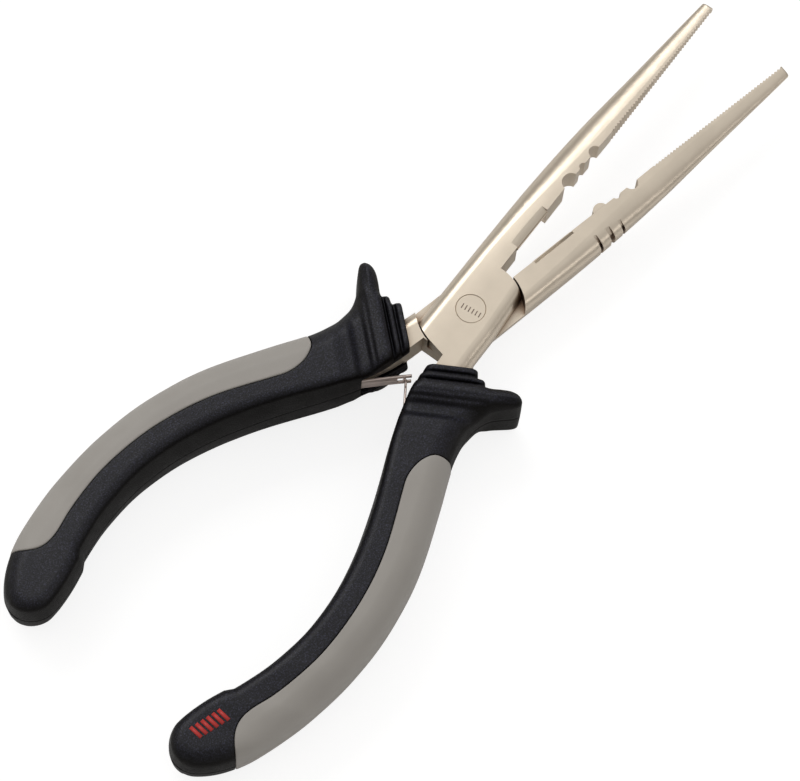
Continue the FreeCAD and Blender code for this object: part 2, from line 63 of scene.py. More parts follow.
# ------------------------------------------------------------------ placing
def to_frame(points, lower):
    """Points in a half's own frame (mm) to the whole tool's frame (metres), rest pose."""
    cos, sin = math.cos(OPENING), math.sin(OPENING)
    points = np.asarray(points, float)
    placed = np.empty_like(points)
    placed[:, 0] = points[:, 0] * cos - points[:, 1] * sin
    placed[:, 1] = points[:, 0] * sin + points[:, 1] * cos
    placed[:, 2] = points[:, 2]
    if lower:
        placed[:, 1:] *= -1
    placed[:, 0] += PIVOT_X
    return placed * MM


def new_mesh(name, points, quads, material, smooth=True):
    """Mesh object from points in metres and four-cornered faces."""
    mesh = bpy.data.meshes.new(name)
    points = np.asarray(points, np.float32)
    mesh.vertices.add(len(points))
    mesh.vertices.foreach_set("co", points.ravel())
    quads = np.asarray(quads, np.int32)
    count, corners = quads.shape
    mesh.loops.add(count * corners)
    mesh.loops.foreach_set("vertex_index", quads.ravel())
    mesh.polygons.add(count)
    starts = np.arange(0, count * corners, corners, dtype=np.int32)
    mesh.polygons.foreach_set("loop_start", starts)
    mesh.polygons.foreach_set("loop_total", np.full(count, corners, np.int32))
    mesh.update(calc_edges=True)
    mesh.validate()
    if smooth:
        mesh.polygons.foreach_set("use_smooth", np.ones(count, bool))
    mesh.materials.append(material)
    obj = bpy.data.objects.new(name, mesh)
    scene.collection.objects.link(obj)
    return obj


# ------------------------------------------------------------------ shader nodes
class Nodes:
    """Emptied node tree of a material or world. Each method adds nodes and returns an output."""

    def __init__(self, owner):
        owner.use_nodes = True
        self.owner = owner
        self.tree = owner.node_tree
        self.tree.nodes.clear()

    def fill(self, node, inputs):
        """Links each input given as a socket and sets the others as values."""
        for key, value in inputs.items():
            if isinstance(value, bpy.types.NodeSocket):
                self.tree.links.new(value, node.inputs[key])
            else:
                node.inputs[key].default_value = value

    def add(self, kind, inputs={}, **settings):
        """Adds a node and returns the node itself."""
        node = self.tree.nodes.new("ShaderNode" + kind)
        for key, value in settings.items():
            setattr(node, key, value)
        self.fill(node, inputs)
        return node

    def mapping(self, vector, scale=(1, 1, 1), rotation=(0, 0, 0)):
        inputs = {"Scale": scale, "Rotation": rotation, "Vector": vector}
        return self.add("Mapping", inputs).outputs[0]

    def grain(self, vector, scale, detail, roughness, stretch=(1, 1, 1)):
        """Noise with the given number of grains to a metre, times stretch on each axis."""
        scaled = self.mapping(vector, [scale * part for part in stretch])
        inputs = {"Scale": 1.0, "Detail": detail, "Roughness": roughness, "Vector": scaled}
        return self.add("TexNoise", inputs).outputs["Fac"]

    def ramp(self, value, *stops):
        """Colour ramp through stops of (position, colour)."""
        node = self.add("ValToRGB", {0: value})
        elements = node.color_ramp.elements
        while len(elements) > 1:
            elements.remove(elements[-1])
        elements[0].position = stops[0][0]
        elements[0].color = (*stops[0][1], 1)
        for position, color in stops[1:]:
            elements.new(position).color = (*color, 1)
        return node.outputs[0]

    def remap(self, value, source, target):
        inputs = dict(enumerate((value, *source, *target)))
        return self.add("MapRange", inputs).outputs[0]

    def math(self, operation, *values):
        return self.add("Math", dict(enumerate(values)), operation=operation).outputs[0]

    def vector_math(self, operation, output, *vectors):
        node = self.add("VectorMath", dict(enumerate(vectors)), operation=operation)
        return node.outputs[output]

    def value(self, number):
        output = self.add("Value").outputs[0]
        output.default_value = number
        return output

    def bump(self, height, strength, distance, **normal):
        inputs = {"Strength": strength, "Distance": distance, "Height": height, **normal}
        return self.add("Bump", inputs).outputs[0]

    def openness(self, distance):
        """How open the surroundings of a point are, 0 in a crevice to 1 in the open."""
        return self.add("AmbientOcclusion", {"Distance": distance}, samples=6).outputs["AO"]

    def mix(self, first, second, kind="MULTIPLY", factor=None):
        node = self.add("Mix", data_type="RGBA", blend_type=kind)
        self.fill(node, {"Factor": 1.0, 6: first, 7: second})
        if factor is not None:
            self.fill(node, {"Factor": factor})
        return node.outputs[2]


def new_surface(name):
    """Material with a principled shader: its nodes, the shader and the object coordinates."""
    nodes = Nodes(bpy.data.materials.new(name))
    output = nodes.add("OutputMaterial")
    shader = nodes.add("BsdfPrincipled")
    nodes.fill(output, {0: shader.outputs[0]})
    return nodes, shader, nodes.add("TexCoord").outputs["Object"]


def grey(level):
    return (level,) * 3


def tinted(color, factor):
    return tuple(part * factor for part in color)


# ------------------------------------------------------------------ materials
STEEL = (0.66, 0.58, 0.475)


def crown_bump(nodes, from_pivot, marks):
    """Very slight convex polish, 45 mm radius, on the outer side, fading in along the half."""
    cos, sin = math.cos(OPENING), math.sin(OPENING)

    def reach(direction):
        return nodes.vector_math("DOT_PRODUCT", "Value", from_pivot, direction)

    outward = nodes.math("MAXIMUM", reach((-sin, cos, 0.0)), nodes.value(0.0))
    fade = nodes.remap(reach((cos, sin, 0.0)), source=(0.004, 0.022), target=(0.45, 1.0))
    square = nodes.math("MULTIPLY", nodes.math("MULTIPLY", outward, outward), fade)
    height = nodes.math("MULTIPLY", square, nodes.value(-0.5 / 0.045))
    return nodes.bump(height, strength=1.0, distance=1.0, Normal=marks)


def steel_material(name, brush_angle, roughness=0.35, crevice_shade=True, crowned=False):
    """Satin nickel plate with fine marks across the length, with painted shade: the colour is
    darkened to brown in crevices.
    """
    nodes, shader, coords = new_surface(name)
    turned = nodes.mapping(coords, rotation=(0, 0, -brush_angle))
    across = nodes.grain(turned, scale=1500, detail=5.0, roughness=0.6, stretch=(2, 1, 1))
    fine = nodes.grain(turned, scale=3400, detail=2.0, roughness=0.5)
    cloud = nodes.grain(turned, scale=130, detail=3.0, roughness=0.5)
    color = nodes.ramp(cloud, (0.3, tinted(STEEL, 0.95)), (0.7, tinted(STEEL, 1.04)))
    if crevice_shade or crowned:
        from_pivot = nodes.vector_math("SUBTRACT", "Vector", coords, PIVOT)
    if crevice_shade:
        # painted shade: brown to near black where the openness (ambient occlusion) is low, in
        # crevices and recesses
        crevice_shade_color = nodes.ramp(nodes.openness(0.0035), (0.04, (0.10, 0.06, 0.045)),
                          (0.40, (0.46, 0.36, 0.30)), (0.70, grey(1)))
        flat = nodes.mapping(from_pivot, scale=(1, 1, 0))
        distance = nodes.vector_math("LENGTH", "Value", flat)
        # no painted crevice shade close round the rivet
        away = nodes.remap(distance, source=(0.0037, 0.0044), target=(0.0, 1.0))
        color = nodes.mix(color, crevice_shade_color, factor=away)
    gloss = nodes.remap(across, source=(0.3, 0.7), target=(roughness - 0.03, roughness + 0.05))
    normal = nodes.bump(nodes.math("ADD", across, fine), strength=0.04, distance=0.00002)
    if crowned:
        normal = crown_bump(nodes, from_pivot, normal)
    nodes.fill(shader, {"Base Color": color, "Metallic": 1.0, "Roughness": gloss,
                        "Normal": normal})
    return nodes.owner


def black_material(name):
    """Grained black, glossier on faces that lie flat, with painted light making those faces
    paler and painted shade darkening the hollows.
    """
    nodes, shader, coords = new_surface(name)
    cells = nodes.add("TexVoronoi", {"Scale": 1.0, "Vector": nodes.mapping(coords, (2300,) * 3)},
                      feature="F1")
    grain = nodes.grain(coords, scale=3300, detail=3.0, roughness=0.6)
    cloud = nodes.grain(coords, scale=160, detail=3.0, roughness=0.5)
    # painted light: flat-lying faces get this paler, bluer grain, as if lit from above
    top = nodes.ramp(grain, (0.36, (0.0014, 0.0014, 0.0024)), (0.52, (0.0066, 0.0066, 0.0108)),
                     (0.66, (0.033, 0.034, 0.056)))
    # painted shade: the steep sides get this darker, browner colour
    side = nodes.ramp(grain, (0.40, (0.0036, 0.0031, 0.0029)), (0.72, (0.0072, 0.0062, 0.0057)))
    normal = nodes.add("NewGeometry").outputs["Normal"]
    steepness = nodes.math("ABSOLUTE", nodes.add("SeparateXYZ", {0: normal}).outputs[2])
    # how flat a face lies decides how much painted light it gets over the painted shade of the
    # sides
    flat = nodes.remap(steepness, source=(0.50, 0.93), target=(0.0, 1.0))
    color = nodes.mix(side, top, kind="MIX", factor=flat)
    # painted shade: the colour is darkened in broad hollows, and more strongly in tight creases,
    # from the openness round each point
    shade = nodes.ramp(nodes.openness(0.005), (0.25, grey(0.35)), (0.95, grey(1)))
    crease_shade = nodes.ramp(nodes.openness(0.0016), (0.22, grey(0.07)), (0.45, grey(0.55)),
                      (0.68, grey(1)))
    roughness = nodes.remap(cloud, source=(0.3, 0.7), target=(0.40, 0.50))
    gloss = nodes.math(
        "MULTIPLY",
        nodes.remap(nodes.openness(0.004), source=(0.2, 0.9), target=(0.15, 1.0)),
        nodes.remap(flat, source=(0.0, 1.0), target=(0.08, 0.33)))
    pits = nodes.remap(cells.outputs["Distance"], source=(0.0, 0.8), target=(0.35, 0.0))
    nodes.fill(shader, {
        "Base Color": nodes.mix(nodes.mix(color, shade), crease_shade),
        "Roughness": roughness,
        "Specular IOR Level": gloss,
        "Normal": nodes.bump(nodes.math("ADD", grain, pits), strength=0.55, distance=0.00012)})
    return nodes.owner


def inlay_material(name):
    """Soft matt grey."""
    nodes, shader, coords = new_surface(name)
    cloud = nodes.grain(coords, scale=90, detail=3.0, roughness=0.5)
    fine = nodes.grain(coords, scale=2400, detail=3.0, roughness=0.6)
    nodes.fill(shader, {
        "Base Color": nodes.ramp(cloud, (0.3, (0.350, 0.331, 0.306)),
                                 (0.7, (0.377, 0.357, 0.331))),
        "Roughness": nodes.remap(fine, source=(0.3, 0.7), target=(0.50, 0.60)),
        "Specular IOR Level": 0.35,
        "Normal": nodes.bump(fine, strength=0.12, distance=0.00004)})
    return nodes.owner


def spring_material(name):
    """Pale strip steel, marked along its length."""
    nodes, shader, coords = new_surface(name)
    marks = nodes.grain(coords, scale=700, detail=4.0, roughness=0.6, stretch=(1, 1, 6))
    nodes.fill(shader, {
        "Base Color": nodes.ramp(marks, (0.3, (0.80, 0.67, 0.61)), (0.7, (0.93, 0.80, 0.74))),
        "Metallic": 0.75,
        "Roughness": nodes.remap(marks, source=(0.3, 0.7), target=(0.34, 0.44)),
        "Normal": nodes.bump(marks, strength=0.10, distance=0.00003)})
    return nodes.owner


def paint_material(name, color):
    """Thin mottled colour for the marks."""
    nodes, shader, coords = new_surface(name)
    mottle = nodes.grain(coords, scale=1500, detail=3.0, roughness=0.6)
    nodes.fill(shader, {
        "Base Color": nodes.ramp(mottle, (0.3, tinted(color, 0.9)), (0.7, tinted(color, 1.08))),
        "Roughness": nodes.remap(mottle, source=(0.3, 0.7), target=(0.42, 0.52)),
        "Normal": nodes.bump(mottle, strength=0.2, distance=0.00004)})
    return nodes.owner


upper_steel = steel_material("nickel_upper", brush_angle=OPENING, crowned=True)
lower_steel = steel_material("nickel_lower", brush_angle=-OPENING)
rivet_steel = steel_material("nickel_rivet", brush_angle=0.7, roughness=0.34, crevice_shade=False)
grip_black = black_material("grip_black")
grip_grey = inlay_material("grip_inlay")
spring_steel = spring_material("spring_strip")
etched_tan = paint_material("etched_tan", color=(0.26, 0.20, 0.155))
red_print = paint_material("red_print", color=(0.52, 0.035, 0.03))


# ------------------------------------------------------------------ grip outlines
# (x, y) in a half's own frame, mm
# edge facing the other grip, from the collar to the tail
INNER_EDGE = [
    (-17.9, -0.5), (-21.0, -0.7), (-25.0, -1.1), (-30.0, -2.15), (-34.0, -3.45), (-39.0, -5.35),
    (-44.0, -7.4), (-50.0, -9.7), (-57.0, -12.1), (-62.0, -13.6), (-68.0, -14.95),
    (-73.0, -15.7), (-79.0, -16.05), (-84.0, -15.9), (-89.0, -15.2), (-95.0, -13.9),
    (-99.5, -12.4), (-102.9, -11.1)]
# bulge of the tail towards the other grip, round to the end of the tail
TAIL_PAD = [
    (-104.6, -9.55), (-108.0, -8.1), (-112.0, -6.75), (-115.0, -6.05), (-117.3, -5.85),
    (-119.7, -6.55), (-121.8, -8.1), (-123.1, -10.2), (-123.4, -12.4)]
# end of the tail, along the outer edge and round the horn of the guard
OUTER_EDGE = [
    (-123.4, -12.4), (-122.8, -14.6), (-121.2, -16.9), (-118.9, -19.2), (-116.0, -21.3),
    (-112.5, -23.2), (-108.5, -24.85), (-104.5, -26.25), (-100.0, -27.55), (-95.0, -28.6),
    (-90.0, -29.4), (-85.0, -29.95), (-80.0, -30.2), (-75.0, -30.2), (-70.0, -29.85),
    (-65.0, -29.2), (-60.0, -28.3), (-55.0, -27.0), (-50.0, -25.35), (-45.0, -23.5),
    (-40.0, -21.6), (-35.0, -19.6), (-31.5, -18.3), (-28.0, -17.4), (-25.0, -17.0),
    (-22.4, -17.2), (-20.0, -17.75), (-17.9, -18.8), (-15.8, -20.85), (-14.4, -22.35),
    (-13.1, -23.25), (-12.1, -22.95), (-11.45, -22.05), (-11.2, -21.0), (-11.55, -19.2),
    (-12.6, -17.2)]
# ribbed collar by the guard, as (along, across): see collar_to_xy
COLLAR_STEPS = [(19.65, 6.0), (19.5, 5.4), (18.3, 5.15), (17.75, 4.7), (17.5, 3.9), (17.3, 3.5),
                (15.8, 3.3), (12.5, 3.3), (12.5, -8.4)]
OUTER_STEPS = 6                 # collar steps that count as outer edge
COLLAR_COS, COLLAR_SIN = 0.866, 0.5
# inner rim of the grey inlay, then a loop well outside the grip
INLAY_RIM = [
    (-32.6, -18.7), (-33.2, -16.9), (-34.3, -15.0), (-36.9, -13.5), (-39.8, -13.0),
    (-42.8, -13.3), (-45.8, -14.4), (-51.9, -16.9), (-58.0, -19.2), (-64.0, -20.9),
    (-70.0, -22.0), (-76.0, -22.6), (-82.0, -22.7), (-88.0, -22.3), (-94.0, -21.2),
    (-100.0, -19.6), (-105.5, -17.6), (-108.5, -17.2), (-110.7, -17.7), (-112.8, -18.9),
    (-114.8, -20.7), (-116.2, -22.0)]
INLAY_LOOP = [(-121.0, -28.0), (-100.0, -40.0), (-60.0, -40.0), (-27.0, -24.0)]
# slot for the steel tang
TANG_INNER = [(-12.7, -1.55), (-18.0, -1.75), (-24.0, -2.75), (-30.0, -4.75), (-40.0, -9.9),
              (-50.0, -14.4), (-60.0, -17.8), (-70.0, -19.8), (-80.0, -20.4)]
TANG_OUTER = [(-80.0, -25.4), (-70.0, -25.2), (-60.0, -23.8), (-50.0, -21.0), (-40.0, -16.9),
              (-30.0, -12.4), (-24.0, -10.2), (-18.0, -8.75), (-12.0, -8.1)]
SPRING_CHANNEL = [(-5.0, 8.0), (-36.97, 8.0), (-28.83, -4.54), (-24.0, -2.75), (-18.0, -1.75),
                  (-5.0, -1.5)]

# ------------------------------------------------------------------ grip sections
# (distance along the grip from the pivot, value), mm
OUTER_RADIUS = [(15.0, 2.0), (18.6, 1.8), (19.8, 1.0), (21.0, 1.9), (23.0, 2.5), (27.0, 4.2),
                (34.0, 4.6), (100.0, 4.8), (109.0, 3.4), (125.0, 3.2)]
INNER_RADIUS = [(15.0, 2.2), (22.0, 2.1), (28.0, 1.9), (45.0, 1.8), (60.0, 2.0), (98.0, 2.0),
                (108.0, 2.4), (125.0, 3.0)]
# how far the side walls lean in at full height
INNER_LEAN = [(15.0, 0.2), (22.0, 0.3), (32.0, 0.6), (55.0, 1.3), (100.0, 1.3), (112.0, 0.8),
              (125.0, 0.8)]
OUTER_LEAN = [(15.0, 0.15), (19.0, 0.2), (23.0, 0.45), (32.0, 1.2), (100.0, 1.3),
              (110.0, 0.9), (125.0, 0.9)]
# half thickness: ribs, ridge of the guard, hollow behind it, swell, tail
TOP_HEIGHT = [(15.3, 7.8), (15.9, 8.1), (16.6, 8.0), (17.35, 7.3), (17.55, 7.3), (17.95, 8.65),
              (18.5, 8.8), (18.95, 8.5), (19.35, 7.95), (19.55, 7.95), (20.0, 9.3), (20.9, 9.8),
              (21.8, 9.86), (22.8, 9.5), (24.0, 8.6), (25.5, 7.5), (26.8, 7.45), (29.2, 8.55),
              (33.0, 9.25), (45.0, 9.65), (60.0, 9.8), (75.0, 9.55), (88.0, 8.9), (98.0, 8.1),
              (106.0, 7.4), (118.0, 6.7)]
HORN_HEIGHT = [(19.2, 9.3), (20.0, 9.7), (21.5, 9.82), (23.0, 9.6), (25.5, 8.2), (28.0, 8.0)]
CROWN_DROP = [(25.0, 0.0), (38.0, 0.45), (100.0, 0.45), (112.0, 0.25)]

HORN_RADIUS, HORN_LEAN = 2.9, 0.15
COLLAR_FRONT = 15.52            # where the grip starts, along its length
COLLAR_FRONT_RADIUS = 0.4
LEAN_POWER = 1.7
WALL_SCALE = 0.985              # evens the distance to the top face against the walls
PARTING_DEPTH, PARTING_WIDTH = 0.16, 0.22
INLAY_RAISE, INLAY_GAP, INLAY_RADIUS = 0.10, 0.09, 0.30
INLAY_THICKNESS, INLAY_POCKET = 2.4, 2.5
TANG_STEP_X = -18.0             # the tang slot is thicker on the pivot side of this
TANG_HALF_THICK, TANG_HALF_THIN, TANG_GAP = 4.1, 3.0, 0.02
CHANNEL_HALF_WIDTH, CHANNEL_RADIUS = 4.75, 0.5
GATE_X, GATE_Y, GATE_RADIUS, GATE_HALF_HEIGHT = -123.6, -11.2, 1.5, 0.35


# ------------------------------------------------------------------ plane geometry
def collar_to_xy(along, across):
    return (-COLLAR_COS * along + COLLAR_SIN * across, -COLLAR_SIN * along - COLLAR_COS * across)


def smooth_curve(points, step=0.6):
    """Centripetal Catmull-Rom through the points, resampled finely."""
    p = np.asarray(points, float)
    p = np.vstack([2 * p[0] - p[1], p, 2 * p[-1] - p[-2]])
    out = []
    for i in range(1, len(p) - 2):
        near = p[i - 1:i + 3]
        knots = [0.0]
        for start, end in zip(near, near[1:]):
            knots.append(knots[-1] + np.linalg.norm(end - start) ** 0.5)
        count = max(2, int(np.linalg.norm(near[2] - near[1]) / step))
        t = np.linspace(knots[1], knots[2], count, endpoint=False)[:, None]

        def between(a, b, i, j):
            start, end = knots[i], knots[j]
            return (end - t) / (end - start) * a + (t - start) / (end - start) * b

        lines = [between(near[j], near[j + 1], j, j + 1) for j in range(3)]
        bends = [between(lines[j], lines[j + 1], j, j + 2) for j in range(2)]
        out.append(between(*bends, 1, 2))
    out.append(p[-2][None, :])
    return np.vstack(out)


def line_distance(polyline):
    """Distance from the plan grid points to an open polyline."""
    best = np.full(X.shape, 1e9, np.float64)
    for (ax, ay), (bx, by) in zip(polyline[:-1], polyline[1:]):
        dx, dy = bx - ax, by - ay
        square = dx * dx + dy * dy + 1e-12
        t = np.clip(((X - ax) * dx + (Y - ay) * dy) / square, 0, 1)
        np.minimum(best, (X - ax - t * dx) ** 2 + (Y - ay - t * dy) ** 2, out=best)
    return np.sqrt(best)


def inside(polygon):
    result = np.zeros(X.shape, bool)
    x0, y0 = polygon[-1]
    for x1, y1 in polygon:
        if y1 != y0:
            crossing = (x0 - x1) * (Y - y1) / (y0 - y1) + x1
            result ^= ((y1 > Y) != (y0 > Y)) & (X < crossing)
        x0, y0 = x1, y1
    return result


def signed_distance(polygon):
    """Distance to a closed polygon, negative inside, as a layer of the 3D grid."""
    distance = line_distance(np.vstack([polygon, polygon[:1]]))
    return np.where(inside(polygon), -distance, distance)[:, :, None]


def ease(t):
    return t * t * (3 - 2 * t)


def blend(a, b, t):
    return a * (1 - t) + b * t


def unit_ramp(values, start, length):
    return np.clip((values - start) / length, 0, 1)


def from_table(x, table):
    """Smooth interpolation of a table by easing between its rows."""
    xs, ys = np.array(table, float).T
    i = np.clip(np.searchsorted(xs, x) - 1, 0, len(xs) - 2)
    return blend(ys[i], ys[i + 1], ease(unit_ramp(x, xs[i], xs[i + 1] - xs[i])))


def rounded(a, b, radius):
    """Intersection of two distances with an edge radius."""
    a, b = a + radius, b + radius
    outside = np.sqrt(np.maximum(a, 0) ** 2 + np.maximum(b, 0) ** 2)
    return np.minimum(np.maximum(a, b), 0) + outside - radius


# ------------------------------------------------------------------ grid to mesh
CELL = 0.25
GRID_X0, GRID_X1, GRID_Y0, GRID_Y1, GRID_Z1 = -125.5, -9.0, -31.5, 1.6, 10.9
layers = int(round(2 * GRID_Z1 / CELL / 2)) * 2 + 1
grid_z = (np.arange(layers) - layers // 2) * CELL
X, Y = np.meshgrid(np.arange(GRID_X0, GRID_X1, CELL), np.arange(GRID_Y0, GRID_Y1, CELL),
                   indexing="ij")
HEIGHT = np.abs(grid_z[None, None, :])
ORIGIN = np.array([GRID_X0, GRID_Y0, grid_z[0]])
CORNERS = [(x, y, z) for z in (0, 1) for y in (0, 1) for x in (0, 1)]


def surface_net(field):
    """Closed quad mesh on the zero level of the field, in mm."""
    solid = field < 0
    nx, ny, nz = field.shape
    filled = np.zeros((nx - 1, ny - 1, nz - 1), np.int8)
    for x, y, z in CORNERS:
        filled += solid[x:nx - 1 + x, y:ny - 1 + y, z:nz - 1 + z]
    crossed = (filled > 0) & (filled < 8)
    cells = np.argwhere(crossed)
    index = np.full(crossed.shape, -1, np.int64)
    index[crossed] = np.arange(len(cells))

    # each point is the mean of the crossings on its cell's edges
    total = np.zeros((len(cells), 3))
    count = np.zeros(len(cells))
    for i, start in enumerate(CORNERS):
        for end in CORNERS[i + 1:]:
            if sum(abs(a - b) for a, b in zip(start, end)) != 1:
                continue
            f0 = field[tuple((cells + start).T)]
            f1 = field[tuple((cells + end).T)]
            cut = (f0 < 0) != (f1 < 0)
            t = np.where(cut, f0 / np.where(f0 - f1 == 0, 1, f0 - f1), 0)
            for k in range(3):
                total[:, k] += np.where(cut, start[k] + t * (end[k] - start[k]), 0)
            count += cut
    points = (cells + total / count[:, None]) * CELL + ORIGIN

    # one quad round each grid edge that crosses the surface
    quads = []
    unit = np.eye(3, dtype=int)
    for axis in range(3):
        side1, side2 = (axis + 1) % 3, (axis + 2) % 3
        edges = np.argwhere(np.diff(solid, axis=axis))
        keep = np.ones(len(edges), bool)
        for side in (side1, side2):
            keep &= (edges[:, side] > 0) & (edges[:, side] < field.shape[side] - 1)
        edges = edges[keep]
        step1, step2 = unit[side1], unit[side2]
        around = (edges - step1 - step2, edges - step2, edges, edges - step1)
        quad = np.stack([index[tuple(cell.T)] for cell in around], 1)
        flip = ~solid[tuple(edges.T)]
        quad[flip] = quad[flip][:, ::-1]
        quads.append(quad)
    return points, np.vstack(quads)


def sample(grid, points):
    """Trilinear value of a grid at points in mm."""
    position = (points - ORIGIN) / CELL
    base = np.clip(np.floor(position).astype(int), 0, np.array(grid.shape) - 2)
    t = position - base
    total = 0
    for corner in CORNERS:
        weight = np.prod(np.where(corner, t, 1 - t), axis=1)
        total = total + weight * grid[tuple((base + corner).T)]
    return total


def evened(points, quads, field):
    """Relaxes the net a little and pulls it back on to the surface, which evens the shading."""
    start, end = np.vstack([quads[:, [k, (k + 1) % 4]] for k in range(4)]).T
    size = len(points)
    count = np.bincount(start, minlength=size) + np.bincount(end, minlength=size)
    gradient = np.gradient(field, CELL)
    for _ in range(2):
        total = np.stack([np.bincount(start, points[end, k], size)
                          + np.bincount(end, points[start, k], size) for k in range(3)], 1)
        points = 0.5 * points + 0.5 * total / count[:, None]
        for _ in range(2):
            distance = sample(field, points)
            slope = np.stack([sample(part, points) for part in gradient], 1)
            square = (slope ** 2).sum(1) + 1e-6
            step = np.clip(distance / square, -0.4 * CELL, 0.4 * CELL)
            points = points - slope * step[:, None]
    return points


def skin(field):
    points, quads = surface_net(field)
    return evened(points, quads, field), quads


# ------------------------------------------------------------------ grips
def grip_body():
    """Distance field of the whole grip, and the height of its top face over the plan grid."""
    tail_side = np.vstack([smooth_curve(INNER_EDGE), smooth_curve(TAIL_PAD)])
    outer = smooth_curve(OUTER_EDGE)
    steps = np.array([collar_to_xy(*step) for step in COLLAR_STEPS])
    to_inner = line_distance(tail_side)
    to_outer = line_distance(np.vstack([outer, steps[:OUTER_STEPS]]))
    outline = signed_distance(np.vstack([tail_side, outer[1:], steps]))
    along = -COLLAR_COS * X - COLLAR_SIN * Y
    across = COLLAR_SIN * X - COLLAR_COS * Y

    def horn_share(reach):
        """1 on the horn of the guard, 0 away from it."""
        return unit_ramp(across, 4.3, 2.6) * np.clip((reach - along) / 2.0, 0, 1)

    # share of the width, 0 at the inner edge to 1 at the outer edge
    share = to_inner / (to_inner + to_outer + 1e-9)
    outward = ease(unit_ramp(share, 0.25, 0.5))
    horn = horn_share(26.5)
    radius = blend(from_table(along, INNER_RADIUS), from_table(along, OUTER_RADIUS), outward)
    radius = blend(radius, HORN_RADIUS, horn)
    lean = blend(from_table(along, INNER_LEAN), from_table(along, OUTER_LEAN), outward)
    lean = blend(lean, HORN_LEAN, horn)

    top = from_table(along, TOP_HEIGHT)
    top = blend(top, np.maximum(top, from_table(along, HORN_HEIGHT)), ease(horn_share(27.0)))
    top = top - from_table(along, CROWN_DROP) * unit_ramp(share, 0.35, 0.65) ** 1.6

    wall = outline + lean[:, :, None] * (HEIGHT / top[:, :, None]) ** LEAN_POWER
    wall = wall + PARTING_DEPTH * np.exp(-(HEIGHT / PARTING_WIDTH) ** 2)
    body = rounded(wall, (HEIGHT - top[:, :, None]) * WALL_SCALE, radius[:, :, None])
    return rounded(body, (COLLAR_FRONT - along)[:, :, None], COLLAR_FRONT_RADIUS), top


def inlay_field(body, plan):
    """Soft inlay, raised a little, with a rounded rim."""
    inlay = rounded(body - INLAY_RAISE, plan + INLAY_GAP, INLAY_RADIUS)
    return np.maximum(inlay, -(body + INLAY_THICKNESS))


def black_field(body, plan):
    """The rest: hollow under the inlay, open over the tang and at the spring channel."""
    black = np.maximum(body, np.minimum(-plan, body + INLAY_POCKET))
    tang = signed_distance(np.vstack([smooth_curve(TANG_INNER), smooth_curve(TANG_OUTER)]))
    tang_half = np.where(X > TANG_STEP_X, TANG_HALF_THICK, TANG_HALF_THIN)[:, :, None]
    tang_slot = np.maximum(tang - TANG_GAP, HEIGHT - tang_half - TANG_GAP)
    channel = rounded(signed_distance(np.array(SPRING_CHANNEL)), HEIGHT - CHANNEL_HALF_WIDTH,
                      CHANNEL_RADIUS)
    # gate mark on the end of the tail
    gate = np.maximum(np.hypot(X - GATE_X, Y - GATE_Y)[:, :, None] - GATE_RADIUS,
                      HEIGHT - GATE_HALF_HEIGHT)
    for cut in (tang_slot, channel, gate):
        black = np.maximum(black, -cut)
    return black


body, top_face = grip_body()
inlay_plan = signed_distance(np.vstack([smooth_curve(INLAY_RIM), INLAY_LOOP]))
grip_parts = (("grip", skin(black_field(body, inlay_plan)), grip_black, "black_grip"),
              ("inlay", skin(inlay_field(body, inlay_plan)), grip_grey, "grey_inlay"))
for side, lower, carrier in (("right", False, "upper_side"), ("left", True, "lower_side")):
    for part, (points, quads), material, slot in grip_parts:
        piece = new_mesh(f"{side}_{part}_skin", to_frame(points, lower), quads, material)
        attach(piece, carrier)
        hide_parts(f"{side}_{part}")

# ------------------------------------------------------------------ steel parts from the CAD
# node, material, bevel width in metres
for node, material, width in (("upper_half", upper_steel, 0.00006),
                              ("lower_half", lower_steel, 0.00010),
                              ("pivot_rivet", rivet_steel, 0.00003)):
    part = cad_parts[node]
    part.data.materials.clear()
    part.data.materials.append(material)
    bevel = part.modifiers.new("edges", "BEVEL")
    bevel.width = width
    bevel.segments = 2
    bevel.limit_method = "ANGLE"
    bevel.angle_limit = math.radians(34)
    bevel.harden_normals = True

# ------------------------------------------------------------------ leaf springs
LEAF_ROOT = np.array([-29.7, -3.2])     # where the strip leaves its clamp
LEAF_ANGLE = math.radians(33.0)
LEAF_ALONG = np.array([math.cos(LEAF_ANGLE), math.sin(LEAF_ANGLE)])
LEAF_NORMAL = np.array([-math.sin(LEAF_ANGLE), math.cos(LEAF_ANGLE)])
LEAF_LENGTH = 11.5
LEAF_BOW = -0.10
LEAF_THICKNESS = 0.5
LEAF_HALF_WIDTH = 2.1
FORK_GAP_HALF = 1.2
TONGUE_HALF = 0.95
TONGUE_END = 9.7                        # stations beyond this are left off
CURL_AT = 9.62                          # distance along the tongue
CURL_OFFSET = 0.26
CURL_RADII = (0.44, 0.12)
CURL_STEPS = 20
# stations along the strip, before and after the fork splits
WIDE_STATIONS = np.linspace(-2.6, 8.0, 28)
END_STATIONS = np.linspace(8.3, LEAF_LENGTH, 12)


def leaf_centre(s):
    """Middle of the strip's thickness at distance s, with a slight bow beyond the root."""
    bow = LEAF_BOW * math.sin(max(0.0, min(1.0, s / LEAF_LENGTH)) * math.pi)
    return LEAF_ROOT + s * LEAF_ALONG + bow * LEAF_NORMAL


def clean(obj, merge=False):
    """Turns the faces outwards, after joining points that meet where asked."""
    bm = bmesh.new()
    bm.from_mesh(obj.data)
    if merge:
        bmesh.ops.remove_doubles(bm, verts=bm.verts, dist=1e-6)
    bmesh.ops.recalc_face_normals(bm, faces=bm.faces)
    bm.to_mesh(obj.data)
    bm.free()
    return obj


